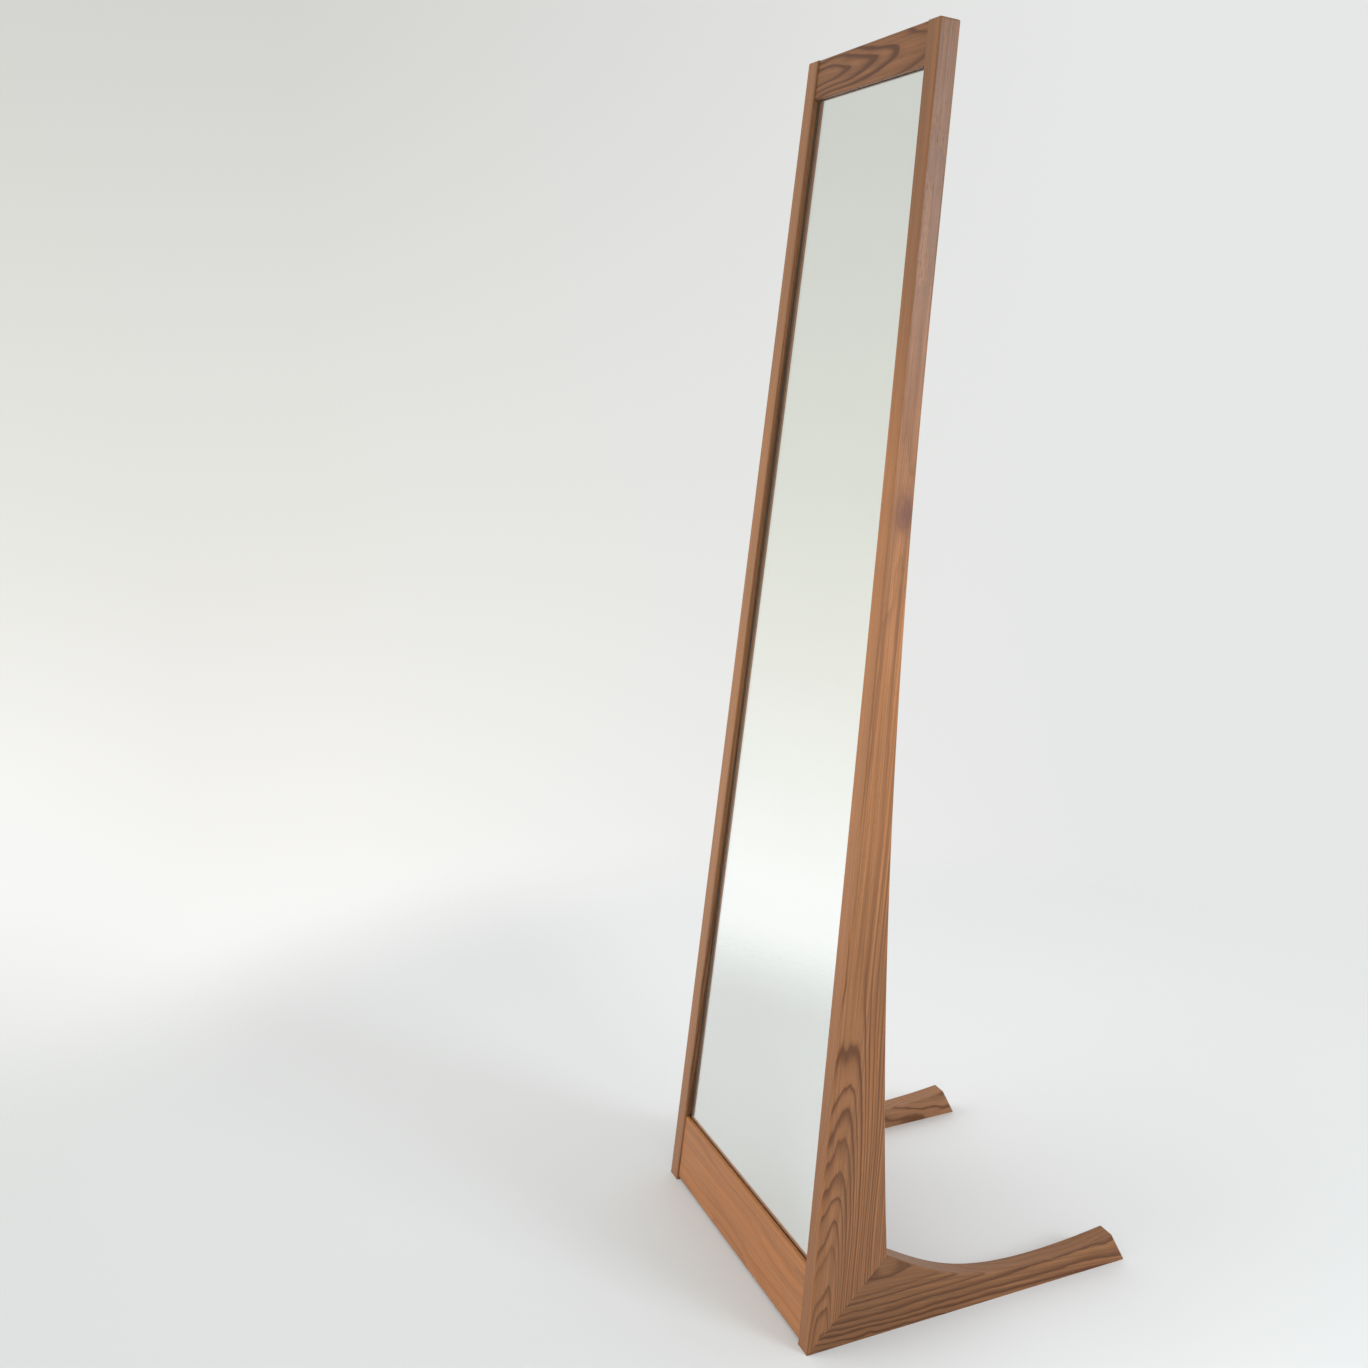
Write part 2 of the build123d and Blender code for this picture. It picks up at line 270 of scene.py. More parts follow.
# The timber's noises: how fine each is across a board's face, out of it and along the grain,
# in cycles a metre, then its detail and its roughness
GRAIN_NOISES = {
    "drift": ((9, 9, 2.1), 2, 0.5),
    "wave": ((38, 38, 7.5), 2, 0.5),
    "tremor": ((180, 180, 24), 1, 0.5),
    "fibre": ((950, 950, 22), 3, 0.65),
    "streak": ((70, 70, 1.6), 3, 0.5),
    "thread": ((360, 360, 2.6), 2, 0.5),
    "cloud": ((26, 26, 5), 2, 0.5),
    "pores": ((2300, 2300, 90), 2, 0.6),
}
BEND_SHARES = {"drift": 6.0, "wave": 2.2, "tremor": 0.22}      # of a board's wander
SLOPE_EASE = 0.16               # metres over which the heart stops running away
UNEVEN_SCALE = 0.55             # how fast the rings' widths change, in noise cycles a year
UNEVEN_YEARS = 1.6              # how far that shifts the rings

KNOT_SQUEEZE = 0.55             # of the distance along the grain, so that knots are long
KNOT_FALL = -0.35               # how fast a knot fades outwards
KNOT_PUSH = 0.5                 # how far it pushes the grain aside, in its own radii
KNOT_MOTTLE = (1.9, -0.15)      # gain and offset of the cloud that breaks a knot up

# Through a year's growth from 0 to 1: how dark the late wood is, and how porous the early wood
LATE_WOOD = ((0.0, 0.35), (0.07, 0.06), (0.34, 0.0), (0.60, 0.24), (0.80, 0.74), (0.92, 1.0),
             (1.0, 0.35))
EARLY_WOOD = ((0.0, 1.0), (0.28, 0.75), (0.5, 0.2), (1.0, 0.35))
YEAR_SEED = (3.7, 1.3)          # where the noise for each year's strength is read
YEAR_STRENGTH = (1.1, 0.35)     # gain and offset of a year's own strength
CLOUD_STRENGTH = (0.9, 0.55)    # gain and offset of the cloud over the late wood
FACE_SHARE = (0.68, 0.32)       # the lines on a board's face against its edges
THREAD_RISE = 0.9               # how much stronger threads get where the late wood fades

# Noise over the early wood: (place in the noise, strength) stops, and how light its colour is
STREAKS = ((0.35, 0.0), (0.68, 1.0))
OVERLAYS = {
    "fibre": (((0.3, 0.0), (0.75, 0.36)), 0.62),
    "cloud": (((0.35, 0.22), (0.7, 0.0)), 0.6),
}
# Dark threads of grain, and pale threads that paint the sheen's fine light lines along the grain
GRAIN_AND_SHEEN_THREADS = (
    (((0.36, 0.36), (0.5, 0.0)), 0.52),
    (((0.52, 0.0), (0.66, 0.34)), 1.5),
)
OPEN_PORES = ((0.58, 0.0), (0.70, 1.0))
PORE_STRENGTH = 0.62
LIGHTEST = 2                    # a board's shades are kept in a ramp as shares of this

FIBRE_ROUGHNESS = 0.16
PORE_ROUGHNESS = 0.2
FIBRE_HEIGHT = 0.25             # of the pores' depth
GRAIN_BUMP = 0.55
OIL_SPECULAR = 0.36


class Board:
    """How a piece of timber was sawn: its grain, and where the tree's heart lay."""

    def __init__(self, grain, face, centre, heart_depth, heart_slope=0.0, slope_end=0.0,
                 squeeze=(1.0, 1.0), wander=0.004, ripple=1.0, spacing=1.0, warmth=0.5,
                 tint=(1, 1, 1), shades=((0.0, 1.0), (1.0, 1.0)), contrast=1.0,
                 calm=(0.0, 1.0, 1.0), knots=()):
        self.grain = Vector(grain).normalized()
        self.across = Vector(face).cross(self.grain).normalized()
        self.out = self.grain.cross(self.across).normalized()
        self.centre = Vector(centre)
        self.heart_depth = heart_depth      # from the centre to the heart, out of the face
        self.heart_slope = heart_slope      # how fast the heart runs away along the grain
        self.slope_end = slope_end          # along the grain, where it stops running away
        self.squeeze = squeeze              # narrows the arches, on either side of the centre
        self.wander = wander                # how far the lines wander, in metres
        self.ripple = ripple                # how many waves the lines have along the grain
        self.spacing = spacing              # ring spacing against the usual
        self.warmth = warmth                # how strongly the warm streaks show
        self.tint = tint                    # what its colours are multiplied by
        self.shades = shades                # (place along the grain, how light it is there)
        self.contrast = contrast            # how strongly the late wood shows
        self.calm = calm                    # where the lines fade along the grain, and to what
        self.knots = knots                  # (place, radius) of each small knot

    def place(self, tree, point):
        """How far a point lies across the face, out of it and along the grain."""
        return [tree.along(point, axis, axis.dot(self.centre))
                for axis in (self.across, self.out, self.grain)]

    def tinted(self, colour):
        """A colour as it is on this board."""
        return tuple(min(1.0, channel * share) for channel, share in zip(colour, self.tint))


def shaded(colour, factor):
    """A colour made lighter or darker."""
    return tuple(min(1.0, channel * factor) for channel in colour)


def grain_noise(tree, kind, spot, stretch=1.0):
    """One of the timber's noises at a spot on a board."""
    (across, out, along), detail, roughness = GRAIN_NOISES[kind]
    scales = (across, out, along * stretch)
    place = tree.vector(*(tree.times(part, scale) for part, scale in zip(spot, scales)))
    return tree.noise(place, detail=detail, roughness=roughness)


def knot_swell(tree, board, point):
    """How far the grain swells round the knots, and how deep in a knot a point lies."""
    swing, core = 0.0, 0.0
    for knot, radius in board.knots:
        aside, along = [tree.along(point, axis, axis.dot(knot))
                        for axis in (board.across, board.grain)]
        reach = tree.length(tree.vector(aside, tree.times(along, KNOT_SQUEEZE), 0.0))
        reach = tree.maths("DIVIDE", reach, radius)
        swell = tree.maths("EXPONENT", tree.times(reach, reach, KNOT_FALL))
        swing = tree.spread(swell, radius * KNOT_PUSH, swing)
        core = tree.maths("ADD", core, swell)
    return swing, core


def growth(tree, board, spot, swing):
    """Years of growth between the heart and a spot, with the wander of the grain."""
    bend = swing
    for kind, share in BEND_SHARES.items():
        noise = grain_noise(tree, kind, spot, board.ripple if kind == "wave" else 1.0)
        bend = tree.spread(tree.maths("SUBTRACT", noise, 0.5), board.wander * share, bend)

    across, out, along = spot
    run = tree.maths("SMOOTH_MIN", along, board.slope_end, SLOPE_EASE)
    heart = tree.maths("ADD", tree.times(run, board.heart_slope), board.heart_depth)
    depth = tree.maths("ADD", tree.maths("SUBTRACT", heart, out), bend)
    swung = tree.maths("ADD", across, bend)
    width = tree.maths("ADD", *(tree.times(tree.maths(limit, swung, 0.0), squeeze)
                                for limit, squeeze in zip(("MINIMUM", "MAXIMUM"),
                                                          board.squeeze)))
    squares = tree.maths("ADD", tree.times(depth, depth), tree.times(width, width))
    spacing = bpy.context.scene.mirror_timber.ring_spacing * board.spacing
    years = tree.maths("DIVIDE", tree.maths("SQRT", squares), spacing)
    uneven = tree.noise(tree.vector(years, 0.0, 0.0), scale=UNEVEN_SCALE, detail=1)
    return tree.maths("ADD", years, tree.times(uneven, UNEVEN_YEARS))


def late_lines(tree, board, years, season, cloud, showing):
    """How dark the late wood's lines are."""
    seed = tree.vector(tree.maths("FLOOR", years), *YEAR_SEED)
    strength = tree.noise(seed, scale=3.1, detail=0)
    line = tree.times(tree.ramp(season, LATE_WOOD), tree.spread(strength, *YEAR_STRENGTH),
                      tree.spread(cloud, *CLOUD_STRENGTH), showing)
    return tree.maths("MULTIPLY", line, board.contrast, clamp=True)


def ground_colour(tree, board, noises, showing):
    """The early wood with its warm streaks, fibres, clouds, dark threads of grain and pale threads
    of painted sheen.
    """
    settings = bpy.context.scene.mirror_timber
    early = board.tinted(settings.early_colour)
    warm = tree.times(tree.ramp(noises["streak"], STREAKS), board.warmth)
    ground = tree.mix(warm, early, board.tinted(settings.warm_colour))
    for kind, (stops, light) in OVERLAYS.items():
        ground = tree.mix(tree.ramp(noises[kind], stops), ground, shaded(early, light))
    # the dark threads are grain; the pale ones are painted sheen
    for stops, light in GRAIN_AND_SHEEN_THREADS:
        thread = tree.times(tree.ramp(noises["thread"], stops), showing)
        ground = tree.mix(thread, ground, shaded(early, light))
    return ground


def board_shade(tree, board, along):
    """How light a board is along its grain; on the stiles this is partly painted shade, darker at
    the top.
    """
    reach = max(place for place, light in board.shades)
    stops = [(place / reach, light / LIGHTEST) for place, light in board.shades]
    shade = tree.ramp(tree.maths("DIVIDE", along, reach), stops, "B_SPLINE")
    return tree.mix(1.0, shade, (LIGHTEST,) * 3, "MULTIPLY")


def timber(name, board):
    """Oiled ring-porous timber, cut from a solid tree so that every face agrees."""
    settings = bpy.context.scene.mirror_timber
    tree = Tree(bpy.data.materials.new(name))
    point = tree.place()
    spot = board.place(tree, point)
    along = spot[-1]
    noises = {kind: grain_noise(tree, kind, spot)
              for kind in ("fibre", "streak", "thread", "cloud", "pores")}
    fibre, cloud = noises["fibre"], noises["cloud"]
    swing, core = knot_swell(tree, board, point)
    years = growth(tree, board, spot, swing)
    season = tree.maths("FRACT", years)

    start, end, left = board.calm
    calm = tree.span(along, start, end, 1.0, left, "SMOOTHSTEP")
    facing = tree.along(tree.node("ShaderNodeTexCoord").outputs["Normal"], board.out)
    facing = tree.spread(tree.times(facing, facing), *FACE_SHARE)
    line = late_lines(tree, board, years, season, cloud, tree.times(calm, facing))
    pore = tree.times(tree.ramp(noises["pores"], OPEN_PORES), tree.ramp(season, EARLY_WOOD))

    showing = tree.times(facing, min(1.0, board.contrast),
                         tree.spread(calm, -THREAD_RISE, 1.0 + THREAD_RISE))
    colour = tree.mix(line, ground_colour(tree, board, noises, showing),
                      board.tinted(settings.late_colour))
    colour = tree.mix(1.0, colour, board_shade(tree, board, along), "MULTIPLY")
    core = tree.maths("MULTIPLY", core, tree.spread(cloud, *KNOT_MOTTLE), clamp=True)
    colour = tree.mix(core, colour, settings.knot_colour)
    colour = tree.mix(tree.times(pore, PORE_STRENGTH), colour, settings.pore_colour)

    rough = tree.spread(fibre, FIBRE_ROUGHNESS, settings.roughness - FIBRE_ROUGHNESS / 2)
    rough = tree.maths("ADD", rough, tree.times(pore, PORE_ROUGHNESS))
    height = tree.maths("SUBTRACT", tree.times(fibre, FIBRE_HEIGHT), pore)
    return tree.surface(tree.principled(
        colour, rough, tree.bumped(height, GRAIN_BUMP, settings.pore_depth),
        Specular_IOR_Level=OIL_SPECULAR))


def finish_node(node, material):
    """Gives a CAD node its finish."""
    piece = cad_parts[node]
    piece.data.materials.clear()
    piece.data.materials.append(material)


def frame_directions():
    """The glass plane's directions: up the lean, and out of the front."""
    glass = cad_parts["mirror_glass"].data
    front = max((face for face in glass.polygons if face.normal.y < 0), key=lambda face: face.area)
    out = front.normal.copy()
    return Vector((0, out.z, -out.y)), out


def frame_taper():
    """How much the half width shrinks for each metre of height."""
    corners = [vertex.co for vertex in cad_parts["mirror_glass"].data.vertices]
    bottom = max(corners, key=lambda corner: corner.x)
    top = max(corners, key=lambda corner: corner.z + corner.x)
    return (bottom.x - top.x) / (top.z - bottom.z)


UP_LEAN, OUT_FRONT = frame_directions()
TAPER = frame_taper()

# How the boards of the side frames were sawn. The hearts' places are metres back of the toe
# and metres up, on the outer face.
STILE_HEARTS = {"left": (0.045, 0.0), "right": (0.024, 0.0)}
# The stiles' shades are partly the timber's own tone and partly painted shade: their tops are
# darker where less light falls on them
STILE_CUTS = {
    "left": dict(heart_depth=0.034, heart_slope=0.05, squeeze=(1.4, 1.4), tint=(1.0, 1.0, 0.95),
                 shades=((0.0, 0.90), (0.5, 1.02), (1.0, 0.98), (1.4, 0.78), (1.7, 0.74))),
    "right": dict(heart_depth=0.004, heart_slope=0.135, squeeze=(1.5, 0.65),
                  tint=(1.0, 0.96, 0.88),
                  shades=((0.0, 0.80), (0.3, 0.84), (0.6, 0.96), (0.95, 1.16), (1.2, 1.0),
                          (1.42, 0.66), (1.7, 0.60))),
}
FOOT_HEARTS = {"left": (0.115, 0.030), "right": (0.115, 0.098)}
FOOT_TINTS = {"left": (0.95, 0.98, 1.0), "right": (0.76, 0.73, 0.64)}
FOOT_GRAIN = Vector((0, 1, -0.10))
KNOTS = {"left": (), "right": (((0.147, 1.122), 0.0078),)}      # (place, radius) of each
RAIL_HEART_RISE = 0.002         # of the top rail's heart, above the middle of the rail
RAIL_HEART_DROP = 0.05          # of the bottom rail's heart, below the rail
VENEER_HEART = 0.6              # of the back board's half width


def outer_face(side):
    """Square to the outer face of a side frame."""
    return Vector((side, 0, TAPER)).normalized()


def on_outer_face(side, back_of_toe, up):
    """A point on the outer face of a side frame."""
    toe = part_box("right_foot")
    return Vector((side * (toe[1].x - TAPER * up), toe[0].y + back_of_toe, up))


def side_boards():
    """How each board of the two side frames was sawn."""
    boards = {}
    lean = UP_LEAN.y / UP_LEAN.z
    for name, side in SIDES.items():
        knots = [(on_outer_face(side, *place), radius) for place, radius in KNOTS[name]]
        boards[f"{name}_stile"] = Board(
            (-side * TAPER, lean, 1), outer_face(side), on_outer_face(side, *STILE_HEARTS[name]),
            slope_end=0.46, wander=0.0036, spacing=1.05, warmth=1.0, calm=(0.40, 0.72, 0.32),
            knots=knots, **STILE_CUTS[name])
        boards[f"{name}_foot"] = Board(
            FOOT_GRAIN, outer_face(side), on_outer_face(side, *FOOT_HEARTS[name]),
            heart_depth=0.022, heart_slope=0.13, slope_end=0.30, squeeze=(0.9, 0.9),
            wander=0.0085, ripple=2.4, spacing=1.7, warmth=0.25, contrast=1.15,
            tint=FOOT_TINTS[name], shades=((0.0, 0.82), (0.2, 1.0), (0.4, 1.06)))
    return boards


def rail_boards():
    """How the two rails were sawn."""
    top_low, top_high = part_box("top_rail")
    bottom_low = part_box("bottom_rail")[0]
    top_heart = (top_low.x, top_low.y, (top_low.z + top_high.z) / 2 + RAIL_HEART_RISE)
    bottom_heart = (0, bottom_low.y, bottom_low.z - RAIL_HEART_DROP)
    return {
        "top_rail": Board(ALONG_X, OUT_FRONT, top_heart, heart_depth=-0.001, heart_slope=0.17,
                          slope_end=0.35, squeeze=(1.3, 1.3), wander=0.007, spacing=2.4,
                          warmth=0.3, tint=(0.61, 0.55, 0.46), contrast=1.8),
        "bottom_rail": Board(ALONG_X, OUT_FRONT, bottom_heart, heart_depth=0.05,
                             heart_slope=0.10, slope_end=0.5, wander=0.014, spacing=6.0,
                             warmth=1.0, tint=(1.18, 1.06, 0.84), contrast=0.35),
    }


class MIRROR_OT_timber(bpy.types.Operator):
    """Finish the side frames and the rails in oiled timber"""
    bl_idname = "mirror.timber"
    bl_label = "Finish the timber"

    def execute(self, context):
        for node, board in {**side_boards(), **rail_boards()}.items():
            finish_node(node, timber(f"oiled {node.replace('_', ' ')}", board))
        return {"FINISHED"}


def bead_timber(node, grain, place, heart_depth):
    """Straight fine timber for a bead."""
    strip = Board(grain, -OUT_FRONT, place, heart_depth=heart_depth, heart_slope=0.01,
                  slope_end=2.0, wander=0.002, contrast=0.6, spacing=0.7)
    return timber(f"{node.replace('_', ' ')} timber", strip)


class MIRROR_OT_back(bpy.types.Operator):
    """Finish the back board, the beads and what lies behind the glass"""
    bl_idname = "mirror.back"
    bl_label = "Finish the back"

    def execute(self, context):
        low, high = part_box("back_board")
        heart = (high.x * VENEER_HEART, high.y, low.z)
        veneer = Board(UP_LEAN, -OUT_FRONT, heart, heart_depth=0.11, heart_slope=0.03,
                       slope_end=2.0, squeeze=(1.1, 1.1), wander=0.006, contrast=0.7,
                       tint=(0.95, 0.95, 0.95))
        finish_node("back_board", timber("back veneer", veneer))
        for name, side in SIDES.items():
            place = (side * high.x, high.y, low.z)
            finish_node(f"{name}_bead", bead_timber(f"{name}_bead", UP_LEAN, place, 0.07))
        for node in ("top_bead", "bottom_bead"):
            finish_node(node, bead_timber(node, ALONG_X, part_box(node)[0], 0.06))
        for node in ("left_mitre_tenons", "right_mitre_tenons", "top_rail_tenons",
                     "bottom_rail_tenons"):
            finish_node(node, beech(node))
        finish_node("bonding_tape", foam_tape())
        finish_node("setting_blocks", hard_rubber())
        return {"FINISHED"}


BEECH_PALE, BEECH_DARK, BEECH_FLECK = (0.60, 0.41, 0.25), (0.47, 0.30, 0.17), (0.36, 0.21, 0.11)
BEECH_FIBRES = (700, 90, 700)   # noise cycles a metre along X, Y and Z
BEECH_FLECKS = (420, 160, 420)
FOAM_WHITE, FOAM_SHADE = (0.78, 0.78, 0.76), (0.66, 0.66, 0.63)
RUBBER_BLACK, RUBBER_DUST = (0.018, 0.018, 0.019), (0.07, 0.068, 0.065)


def beech(node):
    """Pale planed beech with short flecks."""
    tree = Tree(bpy.data.materials.new(f"beech {node.replace('_', ' ')}"))
    place = tree.place()
    fibre = tree.noise(tree.stretched(place, BEECH_FIBRES))
    fleck = tree.noise(tree.stretched(place, BEECH_FLECKS))
    colour = tree.mix(tree.ramp(fibre, [(0.3, 0.0), (0.8, 1.0)]), BEECH_PALE, BEECH_DARK)
    colour = tree.mix(tree.ramp(fleck, [(0.62, 0.0), (0.7, 0.7)]), colour, BEECH_FLECK)
    return tree.surface(tree.principled(colour, tree.spread(fibre, 0.15, 0.5)))


def foam_tape():
    """White closed-cell tape with a fine pitted skin."""
    tree = Tree(bpy.data.materials.new("foam tape"))
    cells = tree.noise(tree.place(), scale=1800, detail=2)
    colour = tree.mix(tree.ramp(cells, [(0.35, 0.0), (0.7, 1.0)]), FOAM_SHADE, FOAM_WHITE)
    return tree.surface(tree.principled(colour, 0.8, tree.bumped(cells, 0.5, FINE_PITS)))


def hard_rubber():
    """Black moulded rubber, a little dusty."""
    tree = Tree(bpy.data.materials.new("hard rubber"))
    dust = tree.noise(tree.place(), scale=600, detail=4)
    colour = tree.mix(tree.ramp(dust, [(0.4, 0.0), (0.8, 0.6)]), RUBBER_BLACK, RUBBER_DUST)
    return tree.surface(tree.principled(colour, tree.spread(dust, 0.25, 0.55)))


def clear_glass():
    """Clear float glass, polished on its face."""
    settings = bpy.context.scene.mirror_glass
    tree = Tree(bpy.data.materials.new("clear glass"))
    wipe = tree.noise(tree.place(), scale=14, detail=4)
    colour = tree.mix(wipe, settings.glass_colour, shaded(settings.glass_colour, 0.995))
    return tree.surface(tree.principled(colour, 0.0, IOR=1.5, Transmission_Weight=1.0))


def silver():
    """The silvered back of the glass, faintly clouded."""
    settings = bpy.context.scene.mirror_glass
    tree = Tree(bpy.data.materials.new("silvered glass"))
    haze = tree.noise(tree.place(), scale=5, detail=4)
    tint = tree.ramp(haze, [(0.3, settings.silver_colour),
                            (0.8, shaded(settings.silver_colour, 0.985))])
    rough = tree.ramp(haze, [(0.3, 0.004), (0.8, 0.012)])
    return tree.surface(tree.principled(tint, rough, Metallic=1.0))


def shaded_glass_edge():
    """Ground edge of the glass, coloured dark as painted shade in the gap between the glass and
    the boards.
    """
    settings = bpy.context.scene.mirror_glass
    tree = Tree(bpy.data.materials.new("glass edge in painted shade"))
    grind = tree.noise(tree.place(), scale=900, detail=3)
    colour = tree.mix(grind, settings.edge_shade_colour, shaded(settings.edge_shade_colour, 1.7))
    return tree.surface(tree.principled(colour, tree.spread(grind, 0.2, 0.12)))


def backing_paint():
    """Grey paint over the silvering, with a slight orange peel."""
    settings = bpy.context.scene.mirror_glass
    tree = Tree(bpy.data.materials.new("mirror backing paint"))
    peel = tree.noise(tree.place(), scale=260, detail=2)
    colour = tree.mix(peel, settings.backing_colour, shaded(settings.backing_colour, 1.15))
    return tree.surface(tree.principled(colour, 0.5, tree.bumped(peel, 0.3, FINE_PITS)))


def deselect_all():
    """Leaves object mode with nothing selected."""
    if bpy.context.mode != "OBJECT":
        bpy.ops.object.mode_set(mode="OBJECT")
    bpy.ops.object.select_all(action="DESELECT")


def leaning_slab(name, ends, widths, depths):
    """A tapered slab in the lean of the glass, from its two ends, their widths and two depths."""
    deselect_all()
    bpy.ops.mesh.primitive_cube_add(size=1)
    slab = bpy.context.object
    slab.name = name
    slab.scale = (widths[0], ends[1] - ends[0], depths[1] - depths[0])
    bpy.ops.object.transform_apply(location=False, rotation=False, scale=True)
    bpy.ops.object.mode_set(mode="EDIT")
    bpy.ops.mesh.select_all(action="DESELECT")
    bpy.ops.object.mode_set(mode="OBJECT")
    for vertex in slab.data.vertices:
        vertex.select = vertex.co.y > 0
    bpy.ops.object.mode_set(mode="EDIT")
    bpy.ops.transform.resize(value=(widths[1] / widths[0], 1, 1))
    bpy.ops.object.mode_set(mode="OBJECT")
    turned = Matrix((ALONG_X, UP_LEAN, OUT_FRONT)).transposed().to_4x4()
    place = UP_LEAN * sum(ends) / 2 + OUT_FRONT * sum(depths) / 2
    slab.matrix_world = Matrix.Translation(place) @ turned
    bpy.ops.object.transform_apply(location=True, rotation=True, scale=True)
    return slab


def dress_slab(slab, faced, other, is_faced):
    """Gives a slab one material on the faces that the test picks, and another elsewhere."""
    for material in (faced, other):
        slab.data.materials.append(material)
    for face in slab.data.polygons:
        face.material_index = 0 if is_faced(face.normal.dot(OUT_FRONT)) else 1


END_REACH = 0.001               # corners this near an end of the glass belong to it
SILVER_REACH = 1.5              # how far the silvered slab reaches forward, in coats


class MIRROR_OT_glass(bpy.types.Operator):
    """Cut the clear glass with its ground edges, and silver its back"""
    bl_idname = "mirror.glass"
    bl_label = "Cut the glass"

    def execute(self, context):
        settings = context.scene.mirror_glass
        coat = settings.coat
        corners = [vertex.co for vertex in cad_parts["mirror_glass"].data.vertices]
        ups = [corner.dot(UP_LEAN) for corner in corners]
        outs = [corner.dot(OUT_FRONT) for corner in corners]
        low, high, back, front = min(ups), max(ups), min(outs), max(outs)
        widths = [2 * max(corner.x for corner, up in zip(corners, ups)
                          if abs(up - end) < END_REACH)
                  for end in (low, high)]

        silvering = leaning_slab("silvering", (low + coat, high - coat),
                                 [width - 2 * coat for width in widths],
                                 (back, back + coat * SILVER_REACH))
        dress_slab(silvering, silver(), backing_paint(), lambda out: out > FACE_ON)

        glass = leaning_slab("silvered_mirror_glass", (low, high), widths, (back + coat, front))
        arris = glass.modifiers.new("arris", "BEVEL")
        arris.width = settings.arris
        arris.segments = 2
        arris.limit_method = "ANGLE"
        bpy.ops.object.modifier_apply(modifier="arris")
        dress_slab(glass, clear_glass(), shaded_glass_edge(), lambda out: abs(out) > FACE_ON)

        silvering.select_set(True)
        bpy.ops.object.join()
        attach(glass, BODY)
        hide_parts("mirror_glass")
        return {"FINISHED"}


HEAD_SIDES = 32
POINT_WIDTH = 0.05              # of the shank's, at the tip
SCREW_GAP = 0.02                # corners further apart than this are on different screws
SCREW_TURN = radians(37)        # from one screw's recess to the next
WING_WIDTH = 0.25               # of a recess's wing, against its length


def brass():
    """Turned brass, dulled a little in places."""
    settings = bpy.context.scene.mirror_hardware
    tree = Tree(bpy.data.materials.new("turned brass"))
    tarnish = tree.noise(tree.place(), scale=700, detail=4)
    colour = tree.mix(tree.ramp(tarnish, [(0.4, 0.0), (0.75, 0.8)]), settings.brass_colour,
                      shaded(settings.brass_colour, 0.62))
    return tree.surface(tree.principled(colour, tree.spread(tarnish, 0.25, 0.22), Metallic=1.0))


def screw_heads(node, axis, line):
    """Middle of each screw's head in a group whose screws stand in a line."""
    corners = sorted((vertex.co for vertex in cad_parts[node].data.vertices),
                     key=lambda corner: corner.dot(line))
    groups = [[corners[0]]]
    for before, corner in zip(corners, corners[1:]):
        if corner.dot(line) - before.dot(line) > SCREW_GAP:
            groups.append([])
        groups[-1].append(corner)
    heads = []
    for group in groups:
        head = Vector()
        for direction in (line, line.cross(axis)):
            reach = [corner.dot(direction) for corner in group]
            head += direction * (min(reach) + max(reach)) / 2
        heads.append(head + axis * min(corner.dot(axis) for corner in group))
    return heads


def turned_screw():
    """A countersunk screw at the origin that points up, with a cross recess in its head."""
    settings = bpy.context.scene.mirror_hardware
    ups = [vertex.co.dot(UP_LEAN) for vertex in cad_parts["top_bead_screws"].data.vertices]
    length = max(ups) - min(ups)
    head, shank = settings.head_width / 2, settings.shank_width / 2
    sink = head - shank

    deselect_all()
    bpy.ops.mesh.primitive_circle_add(vertices=HEAD_SIDES, radius=head, fill_type="NGON")
    screw = bpy.context.object
    bpy.ops.object.mode_set(mode="EDIT")
    bpy.ops.mesh.select_all(action="SELECT")
    for rise, share in ((sink, shank / head), (length - sink - settings.point_length, 1.0),
                        (settings.point_length, POINT_WIDTH)):
        bpy.ops.mesh.extrude_region_move(TRANSFORM_OT_translate={"value": (0, 0, rise)})
        bpy.ops.transform.resize(value=(share, share, 1))
    bpy.ops.mesh.select_all(action="SELECT")
    bpy.ops.mesh.normals_make_consistent(inside=False)
    bpy.ops.object.mode_set(mode="OBJECT")

    for turn in (0, radians(90)):
        deselect_all()
        bpy.ops.mesh.primitive_cube_add(size=1, rotation=(0, 0, turn))
        wing = bpy.context.object
        wing.scale = (settings.recess_width, settings.recess_width * WING_WIDTH,
                      settings.recess_depth * 2)
        recess = screw.modifiers.new("recess", "BOOLEAN")
        recess.operation = "DIFFERENCE"
        recess.object = wing
        bpy.context.view_layer.objects.active = screw
        bpy.ops.object.modifier_apply(modifier="recess")
        deselect_all()
        wing.select_set(True)
        bpy.ops.object.delete()
    screw.data.materials.append(brass())
    return screw


def driven_screw(pattern, head, axis, number):
    """A copy of the pattern screw with its head in place, each with its recess turned."""
    deselect_all()
    pattern.select_set(True)
    bpy.context.view_layer.objects.active = pattern
    bpy.ops.object.duplicate()
    screw = bpy.context.object
    turn = axis.to_track_quat("Z", "Y").to_matrix().to_4x4()
    spin = Matrix.Rotation(SCREW_TURN * number, 4, "Z")
    screw.matrix_world = Matrix.Translation(head) @ turn @ spin
    return screw


